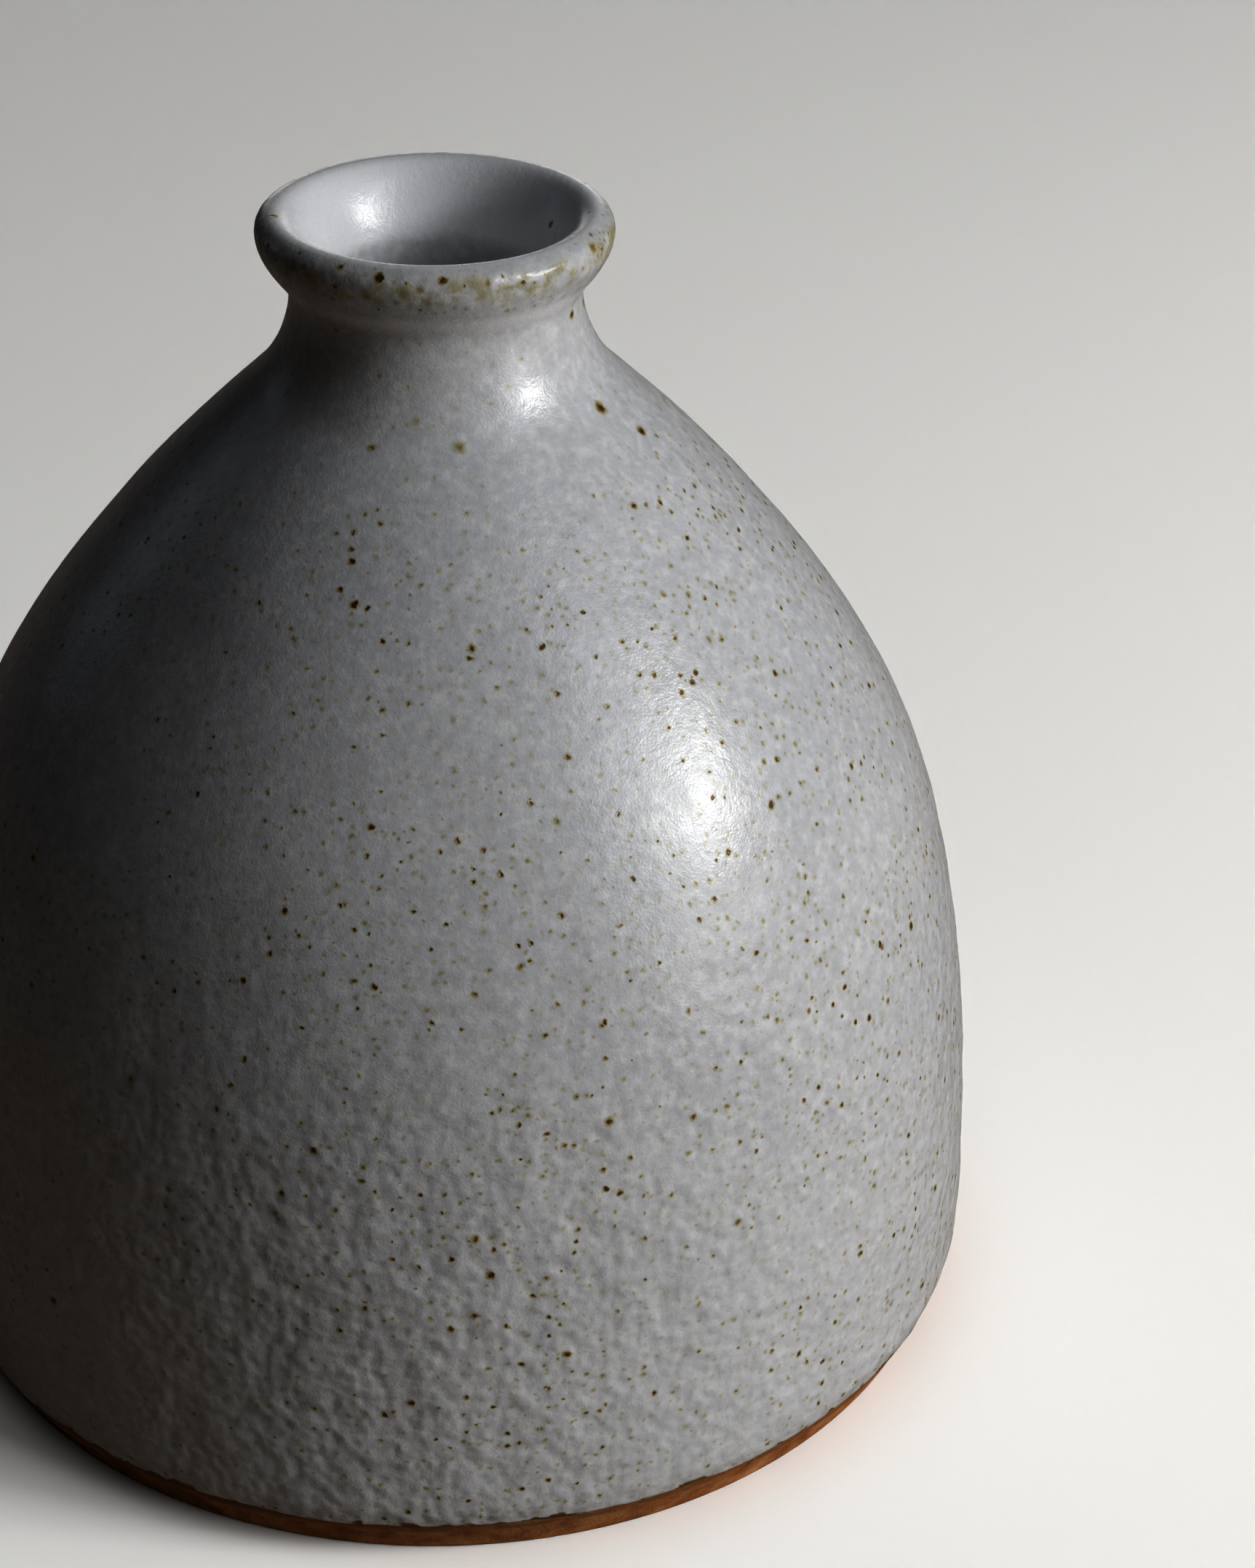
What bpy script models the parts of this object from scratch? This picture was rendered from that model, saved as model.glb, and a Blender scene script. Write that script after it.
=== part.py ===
"""Ceramic bud vase: a thrown stoneware pot with a glaze coat outside and a liner glaze inside.

The vase stands on z = 0 with its axis on +Z. Every solid is a turned profile. The visible outline
is a chain of stations, each a radius, a height and the lean of the wall there, joined by cubic
curves. The clay and the hidden faces of the glaze follow the same outline, set back from it.
"""
import math
from collections import namedtuple

import bmesh
import bpy

# Driving dimensions in metres
BODY_RADIUS = 0.045
HEIGHT = 0.0949
LIP_RADIUS = 0.0137
CREST_RADIUS = 0.0121
NECK_RADIUS = 0.0113
THROAT_RADIUS = 0.0079
WALL = 0.0045
FLOOR_TOP = 0.0070
FLOOR_CORNER = 0.008
GLAZE = 0.0005
GAP = 0.0003

# Foot: the bare clay is an undercut bevel, a little behind the edge of the glaze
GLAZE_LINE_HEIGHT = 0.00384
GLAZE_LINE_RADIUS = 0.04458
BARE_CLAY_SETBACK = 0.00035
FOOT_RADIUS = 0.04263
FOOT_EDGE = 0.0003
FOOT_RING_WIDTH = 0.0055
RECESS_DEPTH = 0.0012
RECESS_SLOPE = 0.0015

TURN_STEPS = 40
MERGE_DISTANCE = 0.00001
SHARP_ANGLE = math.radians(50)

# The lip's outer edge is a quarter round that ends at the crest
LIP_ROUND = LIP_RADIUS - CREST_RADIUS

# A place on the outline: lean is the wall's angle inward from upright, going up, and below and
# above are the lengths of the curve's handles on either side.
Station = namedtuple("Station", "radius height lean below above")

SHOULDER = Station(0.02707, 0.06817, math.radians(39.0), 0.0152, 0.0093)
OUTSIDE = (
    Station(GLAZE_LINE_RADIUS, GLAZE_LINE_HEIGHT, math.radians(-14.0), 0.0, 0.0008),
    Station(BODY_RADIUS, 0.00608, 0.0, 0.0009, 0.0392),
    SHOULDER,
    Station(0.0144, 0.0814, math.radians(46.0), 0.0022, 0.0021),
    Station(NECK_RADIUS, 0.0885, 0.0, 0.0024, 0.0010),
    Station(LIP_RADIUS, HEIGHT - LIP_ROUND, 0.0, 0.0022, 0.0),
)
OUTSIDE_STEPS = (2, 8, 6, 5, 5)
LIP_STEPS = 4

INSIDE = (
    Station(CREST_RADIUS, HEIGHT, math.radians(-90.0), 0.0019, 0.0),
    Station(THROAT_RADIUS, 0.0862, 0.0, 0.0034, 0.0040),
    Station(SHOULDER.radius - WALL * math.cos(SHOULDER.lean),
            SHOULDER.height - WALL * math.sin(SHOULDER.lean),
            SHOULDER.lean, 0.0145, 0.0120),
    Station(BODY_RADIUS - WALL, FLOOR_TOP + FLOOR_CORNER, 0.0, 0.0, 0.0340),
)
INSIDE_STEPS = (6, 6, 6)

# The outside coat ends two points past the throat, and the liner starts at this share of the curve
# from the throat to the shoulder, just beyond it
COAT_POINTS = INSIDE_STEPS[0] + 3
LINER_START = 0.36


def curve_point(start, end, share, inset, side):
    """A point on the cubic from one station to the next, set back by inset into the wall.

    side is +1 on the outside of the pot and -1 on its inside.
    """
    rising = 1.0 if end.height > start.height else -1.0
    start_handle = start.above if rising > 0 else start.below
    end_handle = end.below if rising > 0 else end.above
    handles = (
        (start.radius, start.height),
        (start.radius - rising * start_handle * math.sin(start.lean),
         start.height + rising * start_handle * math.cos(start.lean)),
        (end.radius + rising * end_handle * math.sin(end.lean),
         end.height - rising * end_handle * math.cos(end.lean)),
        (end.radius, end.height),
    )
    rest = 1.0 - share
    weights = (rest ** 3, 3 * rest * rest * share, 3 * rest * share * share, share ** 3)
    slopes = (-rest * rest, rest * rest - 2 * rest * share,
              2 * rest * share - share * share, share * share)
    radius = sum(w * h[0] for w, h in zip(weights, handles))
    height = sum(w * h[1] for w, h in zip(weights, handles))
    d_radius = sum(w * h[0] for w, h in zip(slopes, handles)) * rising
    d_height = sum(w * h[1] for w, h in zip(slopes, handles)) * rising
    length = math.hypot(d_radius, d_height)
    return (radius - side * inset * d_height / length, height + side * inset * d_radius / length)


def wall_points(stations, steps, inset, side):
    """The points of a chain of stations, without its last one."""
    points = []
    for start, end, count in zip(stations, stations[1:], steps):
        points += [curve_point(start, end, i / count, inset, side) for i in range(count)]
    return points


def quarter_turn(steps):
    """Angles from 0 to 90 degrees, in radians."""
    return [math.radians(90.0 * i / steps) for i in range(steps + 1)]


def outer_wall(inset):
    """The outside from the glaze line up to the lip, then round the lip's outer edge."""
    reach = LIP_ROUND - inset
    lip = [(CREST_RADIUS + reach * math.cos(turn), HEIGHT - LIP_ROUND + reach * math.sin(turn))
           for turn in quarter_turn(LIP_STEPS)[:-1]]
    return wall_points(OUTSIDE, OUTSIDE_STEPS, inset, 1) + lip


def inner_wall(inset):
    """The inside from the lip's crest down to the top of the floor's corner."""
    return wall_points(INSIDE, INSIDE_STEPS, inset, -1)


def floor_points(inset):
    """The round corner at the foot of the wall, then the middle of the floor."""
    centre_radius = BODY_RADIUS - WALL - FLOOR_CORNER
    centre_height = FLOOR_TOP + FLOOR_CORNER
    reach = FLOOR_CORNER + inset
    points = []
    for turn in quarter_turn(4):
        points.append((centre_radius + reach * math.cos(turn), centre_height - reach * math.sin(turn)))
    return points + [(0.0, FLOOR_TOP - inset)]


def foot_points(inset):
    """The bare clay from the middle of the underside out to the ring and up to the glaze line."""
    ring_inner = FOOT_RADIUS - FOOT_RING_WIDTH
    return [
        (0.0, RECESS_DEPTH),
        (ring_inner - RECESS_SLOPE, RECESS_DEPTH),
        (ring_inner, 0.0),
        (FOOT_RADIUS - FOOT_EDGE, 0.0),
        (FOOT_RADIUS, FOOT_EDGE),
        (GLAZE_LINE_RADIUS - BARE_CLAY_SETBACK, GLAZE_LINE_HEIGHT - GAP),
        (GLAZE_LINE_RADIUS - inset, GLAZE_LINE_HEIGHT - GAP),
    ]


def clay_profile():
    inset = GLAZE + GAP
    return foot_points(inset) + outer_wall(inset) + inner_wall(inset) + floor_points(inset)


def outer_glaze_profile():
    front, back = (outer_wall(inset) + inner_wall(inset)[:COAT_POINTS] for inset in (0.0, GLAZE))
    return front + back[::-1]


def liner_face(inset):
    start = curve_point(INSIDE[1], INSIDE[2], LINER_START, inset, -1)
    return [start] + inner_wall(inset)[COAT_POINTS:] + floor_points(inset)


def inner_glaze_profile():
    return liner_face(GLAZE)[::-1] + liner_face(0.0)


def make_material(name, colour, roughness):
    material = bpy.data.materials.new(name)
    material.use_nodes = True
    shader = material.node_tree.nodes["Principled BSDF"]
    shader.inputs["Base Color"].default_value = (*colour, 1.0)
    shader.inputs["Roughness"].default_value = roughness
    shader.inputs["Metallic"].default_value = 0.0
    return material


def turn_profile(name, profile, closed, material):
    """Turn a profile in the XZ plane about the Z axis."""
    shape = bmesh.new()
    corners = [shape.verts.new((radius, 0.0, height)) for radius, height in profile]
    edges = [shape.edges.new(pair) for pair in zip(corners, corners[1:])]
    if closed:
        edges.append(shape.edges.new((corners[-1], corners[0])))
    bmesh.ops.spin(shape, geom=corners + edges, cent=(0, 0, 0), axis=(0, 0, 1),
                   angle=math.tau, steps=TURN_STEPS, use_merge=True)
    bmesh.ops.remove_doubles(shape, verts=shape.verts, dist=MERGE_DISTANCE)
    bmesh.ops.recalc_face_normals(shape, faces=shape.faces)
    mesh = bpy.data.meshes.new(name)
    shape.to_mesh(mesh)
    shape.free()
    mesh.materials.append(material)
    mesh.shade_smooth()
    mesh.set_sharp_from_angle(angle=SHARP_ANGLE)
    piece = bpy.data.objects.new(name, mesh)
    bpy.context.scene.collection.objects.link(piece)


def clear_scene():
    for old in list(bpy.data.objects):
        bpy.data.objects.remove(old, do_unlink=True)


def main():
    clear_scene()
    clay = make_material("stoneware", (0.42, 0.27, 0.17), 0.85)
    coat = make_material("speckled_glaze", (0.74, 0.74, 0.75), 0.30)
    liner = make_material("liner_glaze", (0.78, 0.78, 0.79), 0.22)
    turn_profile("clay_body", clay_profile(), False, clay)
    turn_profile("outer_glaze", outer_glaze_profile(), True, coat)
    turn_profile("inner_glaze", inner_glaze_profile(), False, liner)


main()
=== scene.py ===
"""Looks for the ceramic bud vase: turned meshes with relief, speckled glaze, bare clay, soft light.

The three pieces stand for the three CAD nodes. Shapes are worked out in millimetres, in the same
frame as the CAD, and scaled to metres when the mesh is made.
"""

import math
from collections import namedtuple

import bpy
import numpy as np
from mathutils import Matrix, Vector, noise


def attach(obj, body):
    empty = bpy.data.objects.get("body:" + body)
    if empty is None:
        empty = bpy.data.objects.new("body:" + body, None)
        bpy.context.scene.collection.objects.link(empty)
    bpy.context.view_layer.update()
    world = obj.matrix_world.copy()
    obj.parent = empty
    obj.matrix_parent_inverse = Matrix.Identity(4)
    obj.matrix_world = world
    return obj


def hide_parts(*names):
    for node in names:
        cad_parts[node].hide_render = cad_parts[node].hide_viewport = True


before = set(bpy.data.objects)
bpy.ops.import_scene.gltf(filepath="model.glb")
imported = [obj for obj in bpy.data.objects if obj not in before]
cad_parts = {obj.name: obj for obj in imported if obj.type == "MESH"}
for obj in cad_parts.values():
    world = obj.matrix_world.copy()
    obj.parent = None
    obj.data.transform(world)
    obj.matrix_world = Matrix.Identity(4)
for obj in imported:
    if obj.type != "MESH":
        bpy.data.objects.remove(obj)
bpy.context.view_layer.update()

MM = 0.001

# The pot's outline, in millimetres, as in the CAD
BODY_RADIUS = 45.0
HEIGHT = 94.9
LIP_RADIUS = 13.7
CREST_RADIUS = 12.1
LIP_ROUND = LIP_RADIUS - CREST_RADIUS
NECK_RADIUS = 11.3
THROAT_RADIUS = 7.9
WALL = 4.5
FLOOR_TOP = 7.0
FLOOR_CORNER = 8.0
GLAZE_LINE_HEIGHT = 3.84
GLAZE_LINE_RADIUS = 44.58
BARE_CLAY_SETBACK = 0.35
FOOT_RADIUS = 42.63
FOOT_EDGE = 0.3
FOOT_RING_WIDTH = 5.5
RECESS_DEPTH = 1.2
RECESS_SLOPE = 1.5
CLAY_GAP = 0.3

# How deep the faces of the coats and the clay lie behind the outline
GLAZE_FACE = 0.19
GLAZE_BACK = 0.50
CLAY_CORE = 0.58
CLAY_FACE = 0.07
LINER_FACE = 0.10

# A place on the outline: lean is the wall's angle inward from upright, going up, and below and
# above are the lengths of the curve's handles on either side
Station = namedtuple("Station", "radius height lean below above")

SHOULDER = Station(27.07, 68.17, math.radians(39.0), 15.2, 9.3)
OUTSIDE = (
    Station(GLAZE_LINE_RADIUS, GLAZE_LINE_HEIGHT, math.radians(-14.0), 0.0, 0.8),
    Station(BODY_RADIUS, 6.08, 0.0, 0.9, 39.2),
    SHOULDER,
    Station(14.4, 81.4, math.radians(46.0), 2.2, 2.1),
    Station(NECK_RADIUS, 88.5, 0.0, 2.4, 1.0),
    Station(LIP_RADIUS, HEIGHT - LIP_ROUND, 0.0, 2.2, 0.0),
)
INSIDE = (
    Station(CREST_RADIUS, HEIGHT, math.radians(-90.0), 1.9, 0.0),
    Station(THROAT_RADIUS, 86.2, 0.0, 3.4, 4.0),
    Station(SHOULDER.radius - WALL * math.cos(SHOULDER.lean),
            SHOULDER.height - WALL * math.sin(SHOULDER.lean), SHOULDER.lean, 14.5, 12.0),
    Station(BODY_RADIUS - WALL, FLOOR_TOP + FLOOR_CORNER, 0.0, 0.0, 34.0),
)
# Where the outer coat ends inside the neck, and how far past its end the liner starts
COAT_END_HEIGHT = 81.4
LINER_GAP = 0.25

# How finely the curves of the outline are worked out
CUBIC_POINTS = 200
ARC_POINTS = 40
NO_STEP = 1e-6

# Vertices to a ring. A mesh that closes on the axis has its last ring this far from it.
GLAZE_TURNS = 424
CLAY_TURNS = 448
LINER_TURNS = 256
POLE_RADIUS = 1.0

# The mouth leans by this much between two heights: its +X side is the higher one
LIP_TILT = 0.06
LEAN_BAND = (84.0, 93.0)

# The coat is lumpiest below this band of heights and plain above it
LUMPY_BAND = (26.0, 58.0)

# On the neck and the lip the coat is fuller, by this much, and its relief is calmer
NECK_BAND = (84.0, 90.0)
NECK_FULLNESS = 0.12
SHALLOWEST_FACE = 0.012
DEEPEST_FACE = 0.38

# The coat's lower edge lies this far up on average. The rows above it follow its waves, less and
# less, up to these distances on the face and the back.
EDGE_REST = 0.12
FACE_FOLLOWS = 3.5
BACK_FOLLOWS = 3.0

# The underside has coarse rows up to the recess's slope and fine ones from there
UNDERSIDE_END = 34.5
SLOPE_START = 34.7
MARK_REACH = 0.035
MARK_PITCH = 1.9
MARKS_FROM = 0.6
FREE_OF_THE_GROUND = (0.05, 0.9)


# ---------------------------------------------------------------- outline

def curve(start, end):
    """Points along the cubic from one station to the next, without the last one."""
    rising = 1.0 if end.height > start.height else -1.0
    first = start.above if rising > 0 else start.below
    last = end.below if rising > 0 else end.above
    handles = np.array([
        (start.radius, start.height),
        (start.radius - rising * first * math.sin(start.lean),
         start.height + rising * first * math.cos(start.lean)),
        (end.radius + rising * last * math.sin(end.lean),
         end.height - rising * last * math.cos(end.lean)),
        (end.radius, end.height),
    ])
    share = np.linspace(0.0, 1.0, CUBIC_POINTS, endpoint=False)[:, None]
    rest = 1.0 - share
    return (rest ** 3 * handles[0] + 3 * rest ** 2 * share * handles[1]
            + 3 * rest * share ** 2 * handles[2] + share ** 3 * handles[3])


def chain(stations):
    """Points along all the cubics of a chain of stations."""
    return np.vstack([curve(start, end) for start, end in zip(stations, stations[1:])])


def arc(centre, radius, start, end):
    """Points about a centre, between two angles in degrees up from the horizontal."""
    angles = np.radians(np.linspace(start, end, ARC_POINTS, endpoint=False))
    return np.column_stack([centre[0] + radius * np.cos(angles), centre[1] + radius * np.sin(angles)])


def ring_places(radius, height, turns):
    """Places, rows by turns, from a radius and a height for each row or each place."""
    radius, height = np.broadcast_arrays(radius, height)
    if radius.ndim == 1:
        radius, height = radius[:, None], height[:, None]
    height = np.broadcast_to(height, (len(height), len(turns)))
    return np.stack([radius * np.cos(turns), radius * np.sin(turns), height], axis=-1)


class Outline:
    """A profile that can be read at any distance along it, with its outward normal."""

    def __init__(self, points):
        steps = np.hypot(*np.diff(points, axis=0).T)
        self.points = points[np.concatenate([[True], steps > NO_STEP])]
        self.along = np.concatenate([[0.0], np.cumsum(np.hypot(*np.diff(self.points, axis=0).T))])
        self.length = self.along[-1]
        slope = np.gradient(self.points, self.along, axis=0)
        size = np.hypot(slope[:, 0], slope[:, 1])
        self.normals = np.column_stack([slope[:, 1] / size, -slope[:, 0] / size])

    def at(self, along):
        """Radius, height and the two parts of the normal at a distance along the outline."""
        tables = (*self.points.T, *self.normals.T)
        return [np.interp(along, self.along, table) for table in tables]

    def along_at_height(self, height, low, high):
        """Where the outline passes a height, between two distances along it."""
        tries = np.linspace(low, high, 4000)
        return tries[np.argmin(np.abs(self.at(tries)[1] - height))]

    def rings(self, along, depth, turns):
        """Rings a depth behind the outline. Both may be one per row, or one per row and turn."""
        radius, height, out, up = self.at(along)
        return ring_places(radius - depth * out, height - depth * up, turns)


def pot_outline():
    """From the glaze line up the wall, over the lip and down the inside to the floor's middle."""
    lip = arc((CREST_RADIUS, HEIGHT - LIP_ROUND), LIP_ROUND, 0.0, 90.0)
    corner_centre = (BODY_RADIUS - WALL - FLOOR_CORNER, FLOOR_TOP + FLOOR_CORNER)
    corner = arc(corner_centre, FLOOR_CORNER, 0.0, -90.0)
    return Outline(np.vstack([chain(OUTSIDE), lip, chain(INSIDE), corner, [(0.0, FLOOR_TOP)]]))


OUTLINE = pot_outline()
CREST_ALONG = OUTLINE.along_at_height(HEIGHT, 90.0, 140.0)
COAT_END = OUTLINE.along_at_height(COAT_END_HEIGHT, CREST_ALONG, CREST_ALONG + 30.0)
INSIDE_END = OUTLINE.length - POLE_RADIUS


# ---------------------------------------------------------------- relief

def fade(value, low, high):
    """0 below low, 1 above high, smooth between."""
    share = np.clip((value - low) / (high - low), 0.0, 1.0)
    return share * share * (3.0 - 2.0 * share)


def grain(places, size, offset):
    """Smooth noise, about -1 to 1, with bumps of that size in mm."""
    shifted = places / size + offset
    flat = shifted.reshape(-1, 3)
    values = np.fromiter((noise.noise(Vector(p)) for p in flat), float, len(flat))
    return values.reshape(places.shape[:-1])


# Noise for the relief: how far it reaches in mm, the size of its bumps in mm, and its offset
Layer = namedtuple("Layer", "reach size offset")
WALL_LAYERS = (Layer(0.050, 17.0, 0.0), Layer(0.062, 8.0, 3.1))
LUMP_LAYERS = (Layer(0.050, 4.2, 7.7), Layer(0.028, 2.4, 1.9))
STROKES = Layer(0.024, 2.0, 2.3)
STROKE_STRETCH = 3.0
RING_REACH = 0.008
RING_PITCH = 5.3
EDGE_LAYERS = (Layer(0.22, 19.0, 4.4), Layer(0.13, 4.5, 8.2), Layer(0.08, 1.5, 0.0))
GRIT_LAYERS = (Layer(0.030, 1.1, 6.0), Layer(0.022, 0.6, 2.0), Layer(0.05, 9.0, 1.0))
LINER_LAYERS = (Layer(0.05, 9.0, 2.2), Layer(0.03, 4.0, 1.1))


def layered(places, layers):
    """All of the layers added up, in mm."""
    return sum(layer.reach * grain(places, layer.size, layer.offset) for layer in layers)


def finger_marks(places, turns):
    """Marks in patches that climb to the left round the pot."""
    height = places[..., 2]
    twisted = turns[None, :] + height / BODY_RADIUS
    along_marks = np.stack([BODY_RADIUS * np.cos(twisted), BODY_RADIUS * np.sin(twisted),
                            height / STROKE_STRETCH], axis=-1)
    patches = np.clip(0.5 + 1.6 * grain(places, 26.0, 5.5), 0.0, 1.0)
    return layered(along_marks, (STROKES,)) * patches


def glaze_relief(places, turns):
    """How far the glaze's face stands out or in, in mm."""
    height = places[..., 2]
    low = 1.0 - fade(height, *LUMPY_BAND)
    relief = layered(places, WALL_LAYERS) + layered(places, LUMP_LAYERS) * (0.50 + 1.9 * low)
    relief += finger_marks(places, turns) * low
    wander = 1.4 * grain(places, 22.0, 9.1)
    throwing_rings = np.sin((height + wander) * math.tau / RING_PITCH)
    return relief + RING_REACH * throwing_rings * (1.0 - 0.6 * low)


# ---------------------------------------------------------------- meshes

def add_mesh(name, vertices, faces, material):
    """A smooth object from vertices in millimetres."""
    mesh = bpy.data.meshes.new(name)
    mesh.from_pydata((vertices * MM).tolist(), [], faces)
    mesh.validate()
    mesh.materials.append(material)
    mesh.shade_smooth()
    piece = bpy.data.objects.new(name, mesh)
    bpy.context.scene.collection.objects.link(piece)
    return piece


def turned(name, grid, material, poles=None):
    """A mesh from rows of rings. It closes on itself, or ends in two poles on the axis."""
    rows, turns = grid.shape[:2]
    index = np.arange(rows * turns).reshape(rows, turns)
    beside = np.roll(index, -1, axis=1)
    if poles is None:
        index_up, beside_up = np.roll(index, -1, axis=0), np.roll(beside, -1, axis=0)
    else:
        index, beside, index_up, beside_up = index[:-1], beside[:-1], index[1:], beside[1:]
    faces = np.stack([index, beside, beside_up, index_up], axis=-1).reshape(-1, 4).tolist()
    vertices = grid.reshape(-1, 3)
    if poles is not None:
        first, last = len(vertices), len(vertices) + 1
        vertices = np.vstack([vertices, [(0.0, 0.0, poles[0]), (0.0, 0.0, poles[1])]])
        ring = list(range(turns)) + [0]
        faces += [(first, b, a) for a, b in zip(ring, ring[1:])]
        top = (rows - 1) * turns
        faces += [(last, top + a, top + b) for a, b in zip(ring, ring[1:])]
    return add_mesh(name, vertices, faces, material)


def turn_angles(count):
    return np.linspace(0.0, math.tau, count, endpoint=False)


def even(start, end, step):
    """Evenly spaced distances that include both ends, no further apart than the step."""
    count = max(2, int(math.ceil(abs(end - start) / step)) + 1)
    return np.linspace(start, end, count)


def stretches(*starts_and_steps, end):
    """Distances along an outline, in stretches that each have a start and a step."""
    starts = [start for start, step in starts_and_steps]
    parts = [even(start, stop, step)[:-1]
             for (start, step), stop in zip(starts_and_steps, starts[1:] + [end])]
    return np.concatenate(parts + [[end]])


def tilt_lip(grid):
    """Lean the mouth, more towards its top and towards -X."""
    share = fade(grid[..., 2], *LEAN_BAND) * (1.0 - grid[..., 0] / LIP_RADIUS)
    grid[..., 2] -= LIP_TILT * share
    return grid


def edge_shift(turns):
    """How far up the wall the coat's lower edge lies on each bearing."""
    circle = ring_places(np.array([BODY_RADIUS]), np.array([0.0]), turns)[0]
    return layered(circle, EDGE_LAYERS) + EDGE_REST


def coat_face(along, turns):
    """How deep the face of the outer coat lies. It is calmer and fuller on the neck and the lip."""
    places = OUTLINE.rings(along, 0.0, turns)
    calm = fade(places[..., 2], *NECK_BAND)
    depth = GLAZE_FACE - NECK_FULLNESS * calm - glaze_relief(places, turns) * (1.0 - 0.6 * calm)
    return np.clip(depth, SHALLOWEST_FACE, DEEPEST_FACE)


def make_glaze(material):
    turns = turn_angles(GLAZE_TURNS)
    shift = edge_shift(turns)
    along = stretches((0.0, 0.28), (2.0, 0.72), (88.0, 0.48), (CREST_ALONG + 6.0, 1.0), end=COAT_END)
    along = along[:, None] + shift * (1.0 - fade(along, 0.0, FACE_FOLLOWS))[:, None]
    depth = coat_face(along, turns)
    front = OUTLINE.rings(along, depth, turns)

    # the lower edge rolls under to the back of the coat
    roll = np.radians(np.arange(20.0, 180.0, 30.0))[:, None]
    middle = (depth[0] + GLAZE_BACK) / 2.0
    half = (GLAZE_BACK - depth[0]) / 2.0
    edge = OUTLINE.rings(shift - half * np.sin(roll), middle - half * np.cos(roll), turns)
    behind = stretches((0.35, 1.0), (1.2, 2.0), (3.0, 4.0), (80.0, 2.0), end=COAT_END)
    behind = behind[:, None] + shift * (1.0 - fade(behind, 0.0, BACK_FOLLOWS))[:, None]
    back = OUTLINE.rings(behind, GLAZE_BACK, turns)
    grid = np.concatenate([edge[::-1], front, back[::-1]])
    return turned("vase_glaze", tilt_lip(grid), material)


def foot_outline():
    """The underside from near its middle out to the ring, then up the bare bevel."""
    ring_inner = FOOT_RADIUS - FOOT_RING_WIDTH
    bevel_top = (GLAZE_LINE_RADIUS - BARE_CLAY_SETBACK, GLAZE_LINE_HEIGHT - CLAY_GAP)
    return Outline(np.array([
        (POLE_RADIUS, RECESS_DEPTH),
        (ring_inner - RECESS_SLOPE, RECESS_DEPTH),
        (ring_inner - 0.25, 0.12),
        (ring_inner + 0.25, 0.0),
        (FOOT_RADIUS - 0.55, 0.0),
        (FOOT_RADIUS - 0.18, 0.08),
        (FOOT_RADIUS, FOOT_EDGE),
        bevel_top,
    ]))


def clay_depth(foot, along, turns):
    """How deep the foot's face lies: grit and turning marks, and none of it where the pot stands."""
    radius, height = foot.at(along)[:2]
    grit = layered(foot.rings(along, 0.0, turns), GRIT_LAYERS)
    turning_marks = MARK_REACH * np.sin(radius * math.tau / MARK_PITCH) * (height > MARKS_FROM)
    free = fade(height, *FREE_OF_THE_GROUND)[:, None]
    return np.maximum(CLAY_FACE * free - (grit + turning_marks[:, None]) * free, 0.0)


def make_clay(material):
    turns = turn_angles(CLAY_TURNS)
    foot = foot_outline()
    along = np.concatenate([even(0.0, UNDERSIDE_END, 0.75), even(SLOPE_START, foot.length, 0.18)])
    face = foot.rings(along[:, None], clay_depth(foot, along, turns), turns)
    core = stretches((0.5, 0.5), (3.0, 4.0), (80.0, 1.0), (CREST_ALONG + 10.0, 5.0), end=INSIDE_END)
    grid = np.concatenate([face, OUTLINE.rings(core, CLAY_CORE, turns)])
    return turned("vase_clay", tilt_lip(grid), material, poles=(RECESS_DEPTH, FLOOR_TOP - CLAY_CORE))


def make_liner(material):
    turns = turn_angles(LINER_TURNS)
    start = COAT_END + LINER_GAP
    along = even(start, INSIDE_END, 0.8)
    depth = LINER_FACE - layered(OUTLINE.rings(along, 0.0, turns), LINER_LAYERS)
    face = OUTLINE.rings(along[:, None], np.clip(depth, 0.0, 0.25), turns)
    back = OUTLINE.rings(even(start, INSIDE_END, 3.0), GLAZE_BACK, turns)
    grid = np.concatenate([back[::-1], face])
    return turned("vase_liner", tilt_lip(grid), material,
                  poles=(FLOOR_TOP - GLAZE_BACK, FLOOR_TOP - LINER_FACE))


# ---------------------------------------------------------------- material graphs

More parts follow.
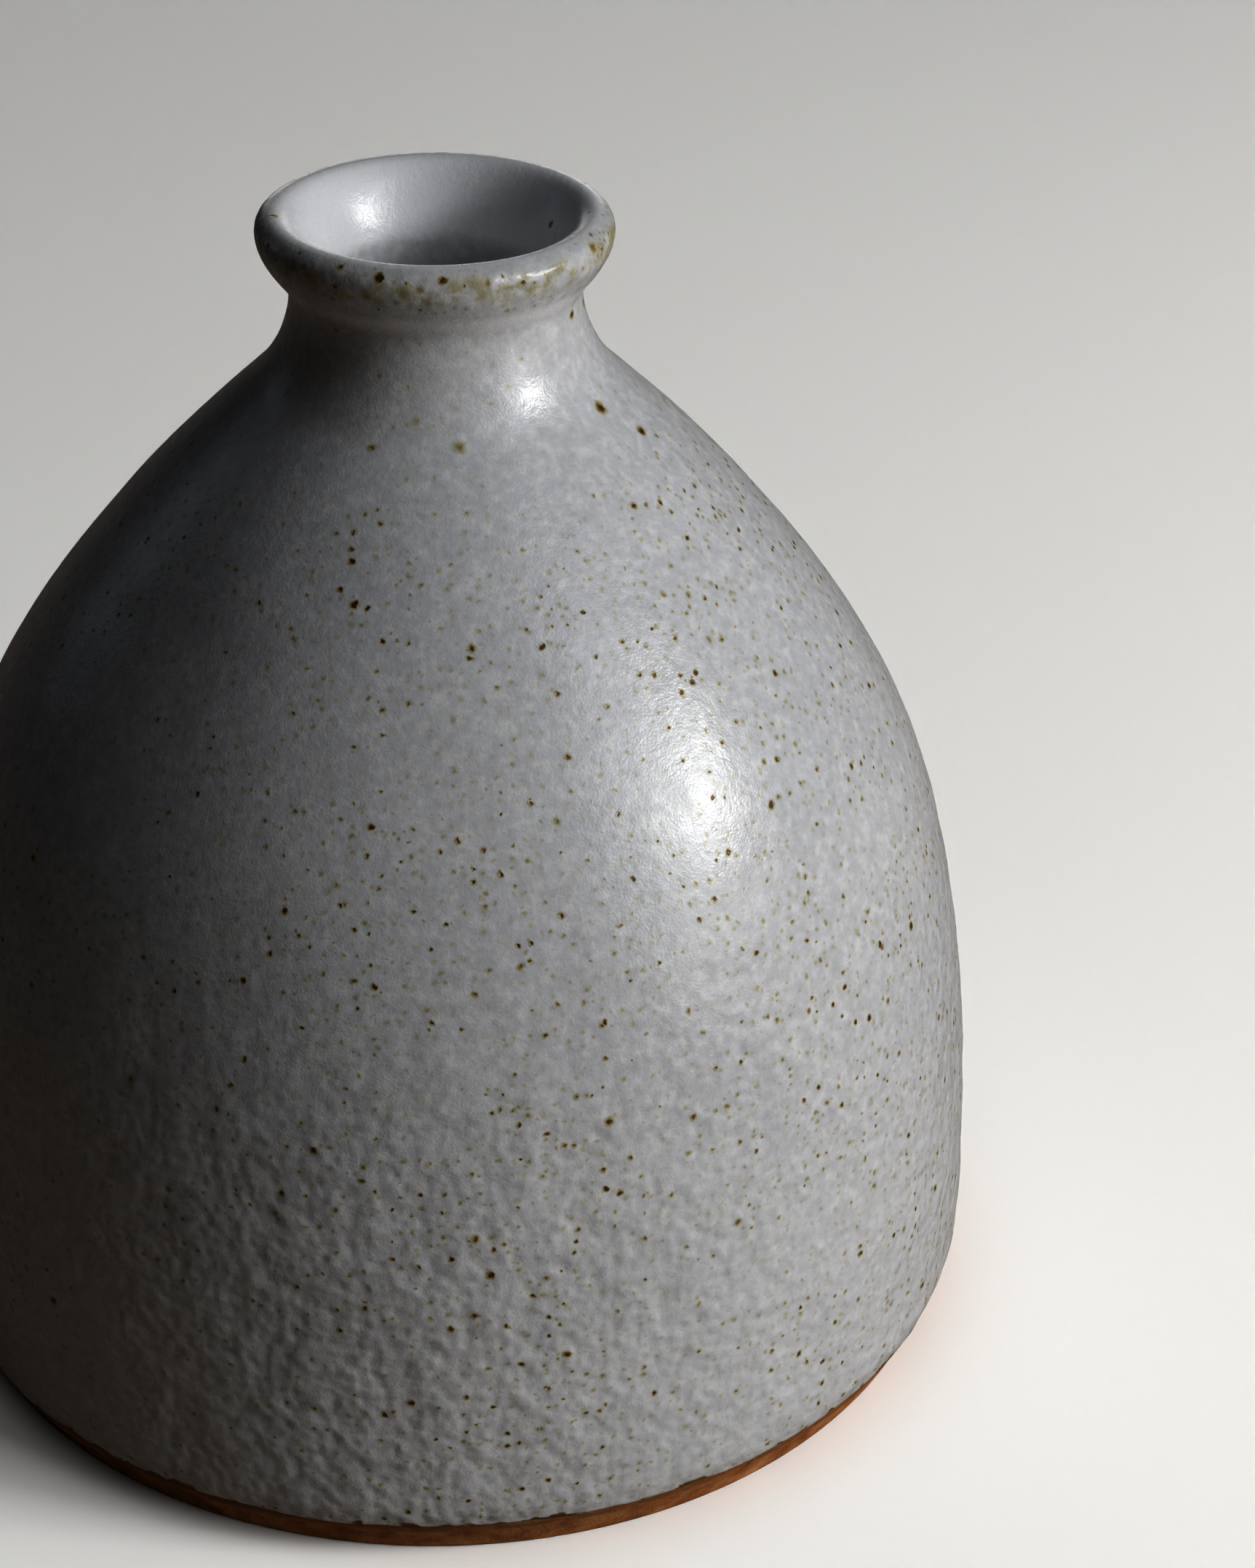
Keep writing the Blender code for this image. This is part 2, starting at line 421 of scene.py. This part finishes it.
class Graph:
    """Short ways to add nodes to one material. Lengths are in millimetres."""

    def __init__(self, name):
        self.material = bpy.data.materials.new(name)
        self.material.use_nodes = True
        self.tree = self.material.node_tree
        self.shader = self.tree.nodes["Principled BSDF"]
        coordinates = self.tree.nodes.new("ShaderNodeTexCoord")
        self.where = self.vector("SCALE", coordinates.outputs["Object"], 1.0 / MM)

    def link(self, source, socket):
        """Join a socket to a source, or set it to a plain value."""
        if isinstance(source, bpy.types.NodeSocket):
            self.tree.links.new(source, socket)
        else:
            socket.default_value = source

    def vector(self, operation, a, b):
        node = self.tree.nodes.new("ShaderNodeVectorMath")
        node.operation = operation
        self.link(a, node.inputs[0])
        self.link(b, node.inputs["Scale"] if operation == "SCALE" else node.inputs[1])
        return node.outputs["Vector"]

    def length(self, source):
        node = self.tree.nodes.new("ShaderNodeVectorMath")
        node.operation = "LENGTH"
        self.link(source, node.inputs[0])
        return node.outputs["Value"]

    def math(self, operation, a, b, clamp=False):
        node = self.tree.nodes.new("ShaderNodeMath")
        node.operation = operation
        node.use_clamp = clamp
        self.link(a, node.inputs[0])
        self.link(b, node.inputs[1])
        return node.outputs["Value"]

    def times(self, a, b):
        return self.math("MULTIPLY", a, b)

    def most(self, first, *others):
        """The largest of the values."""
        for other in others:
            first = self.math("MAXIMUM", first, other)
        return first

    def remap(self, value, low, high, new_low=0.0, new_high=1.0, smooth=True):
        """Turn the range from low to high into the new one, and hold it beyond both ends."""
        node = self.tree.nodes.new("ShaderNodeMapRange")
        node.interpolation_type = "SMOOTHSTEP" if smooth else "LINEAR"
        for source, socket in zip((value, low, high, new_low, new_high), node.inputs):
            self.link(source, socket)
        return node.outputs["Result"]

    def noise(self, size, detail=2.0, roughness=0.5, output="Fac"):
        node = self.tree.nodes.new("ShaderNodeTexNoise")
        self.link(self.where, node.inputs["Vector"])
        node.inputs["Scale"].default_value = 1.0 / size
        node.inputs["Detail"].default_value = detail
        node.inputs["Roughness"].default_value = roughness
        return node.outputs[output]

    def blend(self, share, a, b, kind="MIX"):
        """Mix two colours, each a socket or three numbers."""
        node = self.tree.nodes.new("ShaderNodeMix")
        node.data_type = "RGBA"
        node.blend_type = kind
        self.link(share, node.inputs[0])
        for source, socket in ((a, node.inputs[6]), (b, node.inputs[7])):
            self.link(source if isinstance(source, bpy.types.NodeSocket) else (*source, 1.0), socket)
        return node.outputs[2]

    def ramp(self, value, stops):
        """A colour for each value, from stops that are each a value and its colour."""
        node = self.tree.nodes.new("ShaderNodeValToRGB")
        self.link(value, node.inputs["Fac"])
        marks = node.color_ramp.elements
        while len(marks) < len(stops):
            marks.new(0.5)
        for mark, (place, colour) in zip(marks, stops):
            mark.position = place
            mark.color = (*colour, 1.0)
        return node.outputs["Color"]

    def axis(self, letter):
        """The place along X, Y or Z."""
        node = self.tree.nodes.new("ShaderNodeSeparateXYZ")
        self.link(self.where, node.inputs[0])
        return node.outputs[letter]

    def radius(self):
        """Distance from the pot's axis."""
        return self.length(self.vector("MULTIPLY", self.where, (1.0, 1.0, 0.0)))

    def bump(self, height, depth, below=None):
        """Bump from a height of 0 to 1 that stands for a depth in mm."""
        node = self.tree.nodes.new("ShaderNodeBump")
        node.inputs["Distance"].default_value = depth * MM
        self.link(height, node.inputs["Height"])
        if below is not None:
            self.link(below, node.inputs["Normal"])
        return node.outputs["Normal"]

    def shade(self, **sources):
        """Fill the main shader's sockets, which go by short names here."""
        names = {"colour": "Base Color", "roughness": "Roughness", "normal": "Normal", "ior": "IOR"}
        for key, source in sources.items():
            self.link(source, self.shader.inputs[names[key]])
        return self.material


# Spots, at most one to a cell: the cell's size and the largest spot's radius in mm, how strong the
# faintest and the strongest are, where 0 or less is no spot, and how sharply they fade outward
Specks = namedtuple("Specks", "cell radius faintest strongest sharp")
FAINT_SPECKS = Specks(0.72, 0.40, 0.0, 0.66, 1.0)
MEDIUM_SPECKS = Specks(1.05, 0.48, 0.0, 1.50, 1.4)
LARGE_SPECKS = Specks(3.1, 0.66, 0.3, 1.8, 1.6)
LIP_SPECKS = Specks(1.5, 0.62, 0.2, 1.6, 1.3)
PINHOLES = Specks(4.6, 0.11, 1.5, 1.5, 1.0)
LINER_SPECKS = Specks(3.5, 0.35, -1.2, 0.9, 1.0)
DARK_GRIT = Specks(0.8, 0.22, -0.3, 1.0, 1.0)
PALE_GRIT = Specks(0.9, 0.2, -0.6, 1.0, 1.0)


def speck_layer(g, where, specks):
    """How strong the spots are at a place: strongest in each one's middle, and 0 outside them."""
    cells = g.tree.nodes.new("ShaderNodeTexVoronoi")
    g.link(where, cells.inputs["Vector"])
    cells.inputs["Scale"].default_value = 1.0 / specks.cell
    chance = g.tree.nodes.new("ShaderNodeSeparateColor")
    g.link(cells.outputs["Color"], chance.inputs[0])
    reach = g.remap(chance.outputs["Green"], 0.0, 1.0, 0.45 * specks.radius, specks.radius, smooth=False)
    distance = g.times(cells.outputs["Distance"], specks.cell)
    near = g.math("SUBTRACT", 1.0, g.math("DIVIDE", distance, reach), clamp=True)
    near = g.math("POWER", near, specks.sharp)
    return g.times(near, g.remap(chance.outputs["Red"], 0.0, 1.0, specks.faintest, specks.strongest,
                                 smooth=False))


# Single spots that stand out: bearing in degrees from +X, radius and height of the place, radius of
# the spot, and how dark it is
Spot = namedtuple("Spot", "bearing radius height size strength")
LONE_SPOTS = (
    Spot(-173.0, 12.2, 94.9, 0.55, 1.5),
    Spot(-122.0, 13.2, 94.5, 0.50, 1.4),
    Spot(-108.0, 13.4, 94.2, 0.60, 1.5),
    Spot(-95.0, 13.7, 93.5, 0.60, 0.75),
    Spot(-88.0, 13.4, 94.2, 0.50, 1.4),
    Spot(-74.0, 13.6, 93.8, 0.55, 0.75),
    Spot(-30.0, 13.5, 94.1, 0.80, 0.85),
    Spot(-25.0, 11.3, 88.0, 0.55, 1.2),
    Spot(-6.0, 11.4, 87.6, 0.65, 1.1),
    Spot(20.0, 9.4, 92.2, 0.40, 1.7),
    Spot(-30.0, 14.3, 81.5, 0.80, 1.3),
    Spot(-22.0, 16.8, 79.2, 0.70, 1.4),
    Spot(-84.0, 14.3, 81.5, 0.75, 0.75),
    Spot(-97.0, 13.1, 83.1, 0.55, 0.85),
    Spot(-110.0, 14.5, 81.3, 0.60, 0.9),
)


def lone_speck(g, where, spot):
    """One iron spot at a place."""
    bearing = math.radians(spot.bearing)
    place = (spot.radius * math.cos(bearing), spot.radius * math.sin(bearing), spot.height)
    away = g.length(g.vector("SUBTRACT", where, place))
    return g.times(g.remap(away, 0.0, spot.size, 1.0, 0.0, smooth=False), spot.strength)


# What iron does to the colour under it, from none to the middle of the darkest spot
IRON_STAIN = (
    (0.00, (1.00, 1.00, 1.00)),
    (0.20, (0.92, 0.905, 0.82)),
    (0.40, (0.75, 0.70, 0.49)),
    (0.60, (0.50, 0.38, 0.15)),
    (0.80, (0.29, 0.155, 0.045)),
    (1.00, (0.13, 0.055, 0.024)),
)

GLAZE_CLOUDS = (
    (0.28, (0.572, 0.577, 0.594)),
    (0.50, (0.644, 0.648, 0.663)),
    (0.68, (0.745, 0.749, 0.760)),
)
GLAZE_DRIFT = ((0.3, (0.945, 0.945, 0.957)), (0.7, (1.0, 1.0, 1.0)))
# the colour the glaze turns towards the bottom of the body
WHITER_LOW_GLAZE = (0.80, 0.80, 0.805)
INSIDE_GLAZE = (0.87, 0.876, 0.89)
LINER_CLOUDS = ((0.3, (0.83, 0.836, 0.85)), (0.7, (0.88, 0.885, 0.90)))
# painted shade: the near-black inside of the pinholes, laid over their real bump dip
PINHOLE_SHADE = (0.02, 0.015, 0.012)
CLAY_PATCHES = (
    (0.30, (0.22, 0.080, 0.026)),
    (0.50, (0.52, 0.215, 0.072)),
    (0.70, (0.72, 0.37, 0.15)),
)
BURNT_CLAY = (0.10, 0.038, 0.016)
DARK_GRIT_COLOUR = (0.03, 0.012, 0.006)
PALE_GRIT_COLOUR = (0.55, 0.36, 0.20)
GLAZE_IOR = 1.5
CLAY_IOR = 1.45

# Bands where the glaze changes: radii for the mouth, sideways places for the left, and heights for
# the rest. A band that goes down is a change that ends at its lower figure.
MOUTH_RADII = (12.9, 12.2)
MOUTH_HEIGHTS = (88.6, 90.0)
LEFT_SIDE = (-38.0, -2.0)
SPARSE_NECK = (72.0, 82.0)
SPECKLED_LIP = (90.0, 91.5)
ROLL_BOTTOM = (91.3, 92.6)
ROLL_TOP = (94.7, 93.8)
WHITER_LOW_BAND = (42.0, 14.0)
BURNT_EDGE = (3.45, 4.0)
BURNT_FOOT = (2.9, 3.6)

# Fine relief that is only shaded: size in mm, detail and roughness of the noise, and depth in mm
Ripple = namedtuple("Ripple", "size detail roughness depth")
PEEL = (Ripple(0.20, 1.5, 0.55, 0.021), Ripple(0.55, 0.0, 0.5, 0.016))
BEADS = (Ripple(0.95, 0.0, 0.5, 0.125), Ripple(1.6, 0.4, 0.5, 0.19))
DIP_DEPTH = 0.04
LINER_RIPPLE = Ripple(0.6, 1.0, 0.5, 0.012)
CLAY_GRAIN = Ripple(0.35, 3.0, 0.7, 0.08)


def outside_share(g, height):
    """1 on the outside of the pot and its lip, and 0 in the mouth."""
    mouth = g.times(g.remap(g.radius(), *MOUTH_RADII), g.remap(height, *MOUTH_HEIGHTS))
    return g.math("SUBTRACT", 1.0, mouth, clamp=True)


def wobbled_place(g):
    """The place, moved about a little, so that the specks aren't round."""
    wobble = g.vector("SUBTRACT", g.noise(0.5, output="Color"), (0.5, 0.5, 0.5))
    return g.vector("ADD", g.where, g.vector("SCALE", wobble, 0.45))


def speck_crowd(g, height, outside):
    """How strong the specks are: they come in drifts, and are fewer on the neck and at the left."""
    crowd = g.remap(g.noise(13.0, 1.0), 0.32, 0.64, 0.65, 1.15)
    crowd = g.times(crowd, g.remap(height, *SPARSE_NECK, 1.0, 0.40))
    crowd = g.most(crowd, g.times(g.remap(height, *SPECKLED_LIP), 0.9))
    return g.times(g.times(crowd, outside), g.remap(g.axis("X"), *LEFT_SIDE, 0.72, 1.0))


def wall_specks(g, where, crowd):
    """Specks of three sizes. The large ones come only where the others are crowded."""
    faint = g.times(speck_layer(g, where, FAINT_SPECKS), crowd)
    medium = g.times(speck_layer(g, where, MEDIUM_SPECKS), crowd)
    large = g.times(speck_layer(g, where, LARGE_SPECKS), g.remap(crowd, 0.4, 0.8))
    return g.most(faint, medium, large)


def lip_roll(g, height, outside):
    """1 along the under side of the lip's roll."""
    return g.times(g.times(g.remap(height, *ROLL_BOTTOM), g.remap(height, *ROLL_TOP)), outside)


def lip_stain(g, where, roll):
    """Iron that gathers along the under side of the lip's roll."""
    patchy = g.remap(g.noise(1.5, 3.0, roughness=0.6), 0.36, 0.64, 0.0, 0.44)
    return g.times(roll, g.most(patchy, speck_layer(g, where, LIP_SPECKS)))


def burnt_edge(g, height):
    """The thin edge above the bare clay is burnt in patches."""
    wander = g.remap(g.noise(2.2, 3.0), 0.35, 0.65, -0.7, 0.5)
    return g.remap(g.math("ADD", height, wander), *BURNT_EDGE, 0.85, 0.0)


def glaze_base(g, height, outside):
    """The glaze's colour: whiter towards the bottom, and whitest in the mouth."""
    base = g.ramp(g.noise(1.0, 4.0, roughness=0.62), GLAZE_CLOUDS)
    base = g.blend(1.0, base, g.ramp(g.noise(9.0), GLAZE_DRIFT), "MULTIPLY")
    # whiter towards the bottom of the body
    base = g.blend(g.remap(height, *WHITER_LOW_BAND, 0.0, 0.28), base, WHITER_LOW_GLAZE)
    return g.blend(g.times(g.math("SUBTRACT", 1.0, outside), 0.85), base, INSIDE_GLAZE)


def rippled(g, ripple, share=None, below=None):
    """Bump from one ripple, on top of the bump below, and less where the share is less than 1."""
    wave = g.noise(ripple.size, ripple.detail, ripple.roughness)
    return g.bump(wave if share is None else g.times(wave, share), ripple.depth, below)


def glaze_normal(g, height, roll, spots):
    """Fine ripples all over, soft beads low down and on the lip's roll, and dips at the spots."""
    beaded = g.most(g.remap(height, *LUMPY_BAND, 1.0, 0.05), g.times(roll, 0.7))
    normal = None
    for ripple in PEEL:
        normal = rippled(g, ripple, below=normal)
    for ripple in BEADS:
        normal = rippled(g, ripple, beaded, normal)
    return g.bump(g.remap(spots, 0.5, 0.95, 1.0, 0.0), DIP_DEPTH, normal)


def speckled_glaze():
    """Satin white glaze that iron from the clay has spotted."""
    g = Graph("speckled_glaze")
    height = g.axis("Z")
    outside = outside_share(g, height)
    roll = lip_roll(g, height, outside)
    where = wobbled_place(g)
    specks = wall_specks(g, where, speck_crowd(g, height, outside))
    lone = [lone_speck(g, where, spot) for spot in LONE_SPOTS]
    iron = g.most(specks, lip_stain(g, where, roll), burnt_edge(g, height), *lone)
    pinholes = g.math("MINIMUM", g.times(speck_layer(g, g.where, PINHOLES), outside), 1.0)

    colour = g.blend(1.0, glaze_base(g, height, outside), g.ramp(iron, IRON_STAIN), "MULTIPLY")
    # the pinholes are painted near black, painted shade in the pits on top of their bump dip
    colour = g.blend(pinholes, colour, PINHOLE_SHADE)
    roughness = g.remap(g.noise(2.5), 0.3, 0.7, 0.245, 0.31)
    normal = glaze_normal(g, height, roll, g.most(iron, pinholes))
    return g.shade(colour=colour, roughness=roughness, normal=normal, ior=GLAZE_IOR)


def liner_glaze():
    """Smoother, whiter glaze with a few specks."""
    g = Graph("liner_glaze")
    base = g.ramp(g.noise(3.0), LINER_CLOUDS)
    specks = g.most(speck_layer(g, g.where, LINER_SPECKS), 0.0)
    colour = g.blend(1.0, base, g.ramp(specks, IRON_STAIN), "MULTIPLY")
    return g.shade(colour=colour, roughness=0.16, normal=rippled(g, LINER_RIPPLE), ior=GLAZE_IOR)


def bare_clay():
    """Toasted stoneware: orange brown with grit and darker burnt patches."""
    g = Graph("stoneware")
    patch = g.noise(3.2, 3.0, roughness=0.65)
    wander = g.remap(patch, 0.35, 0.65, -0.6, 0.6)
    burnt = g.remap(g.math("ADD", g.axis("Z"), wander), *BURNT_FOOT, 0.0, 0.55)
    colour = g.blend(burnt, g.ramp(patch, CLAY_PATCHES), BURNT_CLAY)
    dark = g.most(speck_layer(g, g.where, DARK_GRIT), 0.0)
    colour = g.blend(g.times(dark, 0.9), colour, DARK_GRIT_COLOUR)
    elsewhere = g.vector("ADD", g.where, (3.0, 9.0, 5.0))
    pale = g.most(speck_layer(g, elsewhere, PALE_GRIT), 0.0)
    colour = g.blend(pale, colour, PALE_GRIT_COLOUR)
    return g.shade(colour=colour, roughness=0.78, normal=rippled(g, CLAY_GRAIN), ior=CLAY_IOR)


FLOOR_TO_THE_CAMERA = (0.80, 0.785, 0.76, 1.0)
FLOOR_TO_THE_POT = (0.115, 0.088, 0.065, 1.0)


def floor_finish():
    """Pale to the camera, and dark to every other ray, as the tabletop under the real pot is."""
    g = Graph("studio_floor")
    g.shade(colour=FLOOR_TO_THE_POT, roughness=0.9)
    pale = g.tree.nodes.new("ShaderNodeBsdfDiffuse")
    pale.inputs["Color"].default_value = FLOOR_TO_THE_CAMERA
    path = g.tree.nodes.new("ShaderNodeLightPath")
    either = g.tree.nodes.new("ShaderNodeMixShader")
    g.link(path.outputs["Is Camera Ray"], either.inputs[0])
    g.link(g.shader.outputs["BSDF"], either.inputs[1])
    g.link(pale.outputs["BSDF"], either.inputs[2])
    g.link(either.outputs["Shader"], g.tree.nodes["Material Output"].inputs["Surface"])
    return g.material


# ---------------------------------------------------------------- studio

# In metres and watts. A lamp's place is its bearing from the camera's side towards +X, its rise
# above the floor and its distance from the subject, and it faces the subject.
SUBJECT = Vector((0.0, 0.0, 0.050))
FLOOR_HALF = 3.0
CAMERA_PLACE = (0.0, -0.24035, 0.18321)
CAMERA_YAW = 0.0633
CAMERA_PITCH = -0.523
CAMERA_ROLL = 0.0162
LENS_MM = 76.8
SENSOR_MM = 36.0

Lamp = namedtuple("Lamp", "name bearing rise distance width height power colour")
LAMPS = (
    Lamp("key_window", 71.0, 24.0, 0.90, 0.24, 0.19, 3.6, (1.0, 1.0, 1.0)),
    Lamp("key_pane", 54.0, 27.0, 0.90, 0.24, 0.34, 1.30, (0.96, 0.98, 1.0)),
    Lamp("key_glow", 66.0, 26.0, 0.90, 0.60, 0.36, 0.45, (0.98, 0.99, 1.0)),
    Lamp("key_upper", 58.0, 46.0, 0.90, 0.26, 0.20, 0.62, (0.90, 0.95, 1.0)),
    Lamp("right_low", 60.0, 7.0, 0.90, 0.40, 0.20, 1.15, (1.0, 0.99, 0.96)),
    Lamp("sky", 60.0, 80.0, 1.20, 0.80, 0.80, 0.48, (0.84, 0.91, 1.0)),
    Lamp("back_window", -125.0, 16.0, 0.90, 0.22, 0.30, 0.12, (0.72, 0.82, 1.0)),
    Lamp("back_fill", 180.0, 30.0, 0.90, 0.80, 0.50, 0.20, (1.0, 0.98, 0.95)),
    # low behind the pot, so that its far side isn't black
    Lamp("back_low", 180.0, 5.0, 0.90, 0.50, 0.20, 0.75, (1.0, 0.99, 0.97)),
)
# This one lights only the floor
FLOOR_WASH = Lamp("floor_wash", 20.0, 75.0, 2.2, 2.0, 2.0, 12.0, (1.0, 0.99, 0.97))
# Below 1 the picture has more contrast
VIEW_GAMMA = 0.714
WORLD_LIGHT = (0.0015, 0.0015, 0.0015)


def add_lamp(lamp):
    """A rectangle of light that faces the subject."""
    data = bpy.data.lights.new(lamp.name, "AREA")
    data.shape = "RECTANGLE"
    data.size = lamp.width
    data.size_y = lamp.height
    data.energy = lamp.power
    data.color = lamp.colour
    bearing, rise = math.radians(lamp.bearing), math.radians(lamp.rise)
    towards = Vector((math.sin(bearing) * math.cos(rise), -math.cos(bearing) * math.cos(rise),
                      math.sin(rise)))
    item = bpy.data.objects.new(lamp.name, data)
    item.location = SUBJECT + lamp.distance * towards
    item.rotation_euler = towards.to_track_quat("Z", "Y").to_euler()
    bpy.context.scene.collection.objects.link(item)
    return item


def add_floor():
    half = FLOOR_HALF
    corners = [(-half, -half, 0), (half, -half, 0), (half, half, 0), (-half, half, 0)]
    mesh = bpy.data.meshes.new("studio_floor")
    mesh.from_pydata(corners, [], [(0, 1, 2, 3)])
    mesh.materials.append(floor_finish())
    floor = bpy.data.objects.new("studio_floor", mesh)
    bpy.context.scene.collection.objects.link(floor)
    only_floor = bpy.data.collections.new("lit_by_floor_wash")
    only_floor.objects.link(floor)
    add_lamp(FLOOR_WASH).light_linking.receiver_collection = only_floor


def add_world():
    world = bpy.data.worlds.new("studio")
    world.use_nodes = True
    world.node_tree.nodes["Background"].inputs["Color"].default_value = (*WORLD_LIGHT, 1.0)
    bpy.context.scene.world = world


def add_camera():
    data = bpy.data.cameras.new("camera")
    data.lens = LENS_MM
    data.sensor_width = SENSOR_MM
    data.clip_start = 0.01
    camera = bpy.data.objects.new("camera", data)
    turn = (Matrix.Rotation(-CAMERA_YAW, 4, "Z") @ Matrix.Rotation(math.pi / 2 + CAMERA_PITCH, 4, "X")
            @ Matrix.Rotation(CAMERA_ROLL, 4, "Z"))
    camera.matrix_world = Matrix.Translation(CAMERA_PLACE) @ turn
    bpy.context.scene.collection.objects.link(camera)
    bpy.context.scene.camera = camera


# ---------------------------------------------------------------- the scene

bpy.context.scene.view_settings.view_transform = "Standard"
bpy.context.scene.view_settings.gamma = VIEW_GAMMA
pieces = (
    (make_glaze(speckled_glaze()), "outer_glaze", "speckled_glaze"),
    (make_clay(bare_clay()), "clay_body", "stoneware"),
    (make_liner(liner_glaze()), "inner_glaze", "liner_glaze"),
)
for piece, node, slot in pieces:
    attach(piece, "root")
    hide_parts(node)

add_floor()
add_world()
add_camera()
for lamp in LAMPS:
    add_lamp(lamp)
